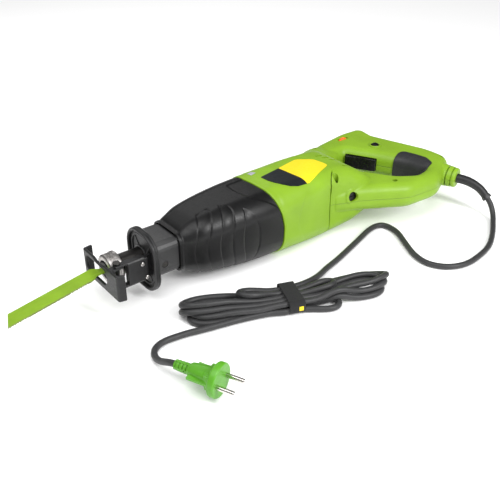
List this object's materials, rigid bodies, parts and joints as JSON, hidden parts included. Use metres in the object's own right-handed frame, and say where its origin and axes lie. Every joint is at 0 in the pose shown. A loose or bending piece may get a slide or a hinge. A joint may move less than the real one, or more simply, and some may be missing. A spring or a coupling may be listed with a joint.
{
  "type": "reciprocating saw",
  "caption": "Corded reciprocating saw lying on its side: slim blade, tilting shoe, rubber-booted gearbox, D-handle with trigger, tied mains lead and plug.",
  "frame": {"origin": "middle of the saw's own box, on the surface that it lies on", "axes": "-X towards the blade's tip, +X to the handle; +Y is the saw's top in use; +Z is its left side, which faces up as it lies"},
  "size_m": [0.6237, 0.3112, 0.0888],
  "materials": {
    "green_plastic": "fine satin",
    "black_plastic": "satin",
    "black_rubber": "semi-gloss",
    "steel": "machined",
    "dark_steel": "blackened",
    "aluminium": "cast",
    "copper": "copper winding",
    "brass": "drawn",
    "bronze": "sintered",
    "carbon": "matte",
    "blade_green": "satin",
    "yellow": "printed film",
    "orange": "moulded",
    "silver": "nickel plated"
  },
  "bodies": {
    "saw_body": {"nose_flange": "black_plastic", "front_bush": "bronze", "rear_bush": "bronze", "gearbox_housing": "aluminium", "shoe_lock_bolt": "dark_steel", "rubber_boot": "black_rubber", "gap_ring": "black_plastic", "crank_bearing": "steel", "motor_housing": "green_plastic", "bearing_plate": "aluminium", "front_bearing": "steel", "rear_bearing": "steel", "stator_core": "dark_steel", "stator_coil_front": "copper", "stator_coil_rear": "copper", "brush_holder_a": "brass", "brush_holder_b": "brass", "carbon_brush_a": "carbon", "carbon_brush_b": "carbon", "brush_cap_a": "black_plastic", "brush_cap_b": "black_plastic", "handle_left_shell": "green_plastic", "handle_right_shell": "green_plastic", "switch_body": "black_plastic", "handle_screw_1": "steel", "handle_screw_2": "steel", "handle_screw_3": "steel", "handle_screw_4": "steel", "handle_screw_5": "steel", "badge_dark": "black_plastic", "badge_yellow": "yellow", "grip_insert": "black_rubber", "strain_relief": "black_rubber", "cord_lead": "black_plastic", "cord_tail": "black_plastic", "cord_hank": "black_plastic", "hank_tie": "black_plastic", "plug_body": "green_plastic", "plug_pin_1": "silver", "plug_pin_2": "silver", "inner_cable": "black_plastic"},
    "armature": {"armature_shaft": "steel", "armature_core": "copper", "commutator": "copper", "cooling_fan": "black_plastic", "drive_pinion": "steel"},
    "crank": {"crank_gear": "dark_steel", "crank_axle": "steel"},
    "plunger": {"plunger": "steel", "blade_clamp_body": "dark_steel", "blade": "blade_green"},
    "clamp_collar": {"blade_clamp_collar": "steel"},
    "shoe_carrier": {"shoe_support": "black_plastic", "shoe_hinge_pin": "steel", "support_rivet_1": "steel", "support_rivet_2": "steel"},
    "shoe": {"shoe_plate": "black_plastic"},
    "trigger": {"trigger": "black_plastic"},
    "lock_button": {"lock_button": "black_plastic"},
    "speed_dial": {"speed_dial": "orange"}
  },
  "joints": [
    {"name": "armature_spin", "type": "hinge", "parent": "saw_body", "child": "armature", "pos_m": [0.06685, -0.00235, 0.0439], "axis": [1, 0, 0], "continuous": true},
    {"name": "crank_spin", "type": "hinge", "parent": "saw_body", "child": "crank", "pos_m": [-0.02815, -0.00235, 0.0339], "axis": [0, 0, 1], "continuous": true},
    {"name": "plunger_stroke", "type": "slide", "parent": "saw_body", "child": "plunger", "axis": [1, 0, 0], "range_m": [0, 0.028]},
    {"name": "collar_release", "type": "hinge", "parent": "plunger", "child": "clamp_collar", "pos_m": [-0.18215, -0.00035, 0.0439], "axis": [1, 0, 0], "range_deg": [0, 45], "stiffness_Nm_per_rad": 0.05, "springref_deg": -11.46},
    {"name": "shoe_adjust", "type": "slide", "parent": "saw_body", "child": "shoe_carrier", "axis": [-1, 0, 0], "range_m": [0, 0.02]},
    {"name": "shoe_tilt", "type": "hinge", "parent": "shoe_carrier", "child": "shoe", "pos_m": [-0.18415, -0.02035, 0.0439], "axis": [0, 0, 1], "range_deg": [0, 25]},
    {"name": "trigger_pull", "type": "slide", "parent": "saw_body", "child": "trigger", "axis": [0.8555, 0.5178, 0], "range_m": [0, 0.006], "stiffness_N_per_m": 400, "springref_m": -0.003},
    {"name": "lock_button_press", "type": "slide", "parent": "saw_body", "child": "lock_button", "axis": [0, 0, -1], "range_m": [0, 0.003], "stiffness_N_per_m": 300, "springref_m": -0.002},
    {"name": "dial_turn", "type": "hinge", "parent": "saw_body", "child": "speed_dial", "pos_m": [0.23385, 0.07165, 0.0543], "axis": [0, 1, 0], "range_deg": [0, 270]}
  ],
  "couplings": [
    {"joint": "crank_spin", "follows": "armature_spin", "ratio": 0.2}
  ]
}
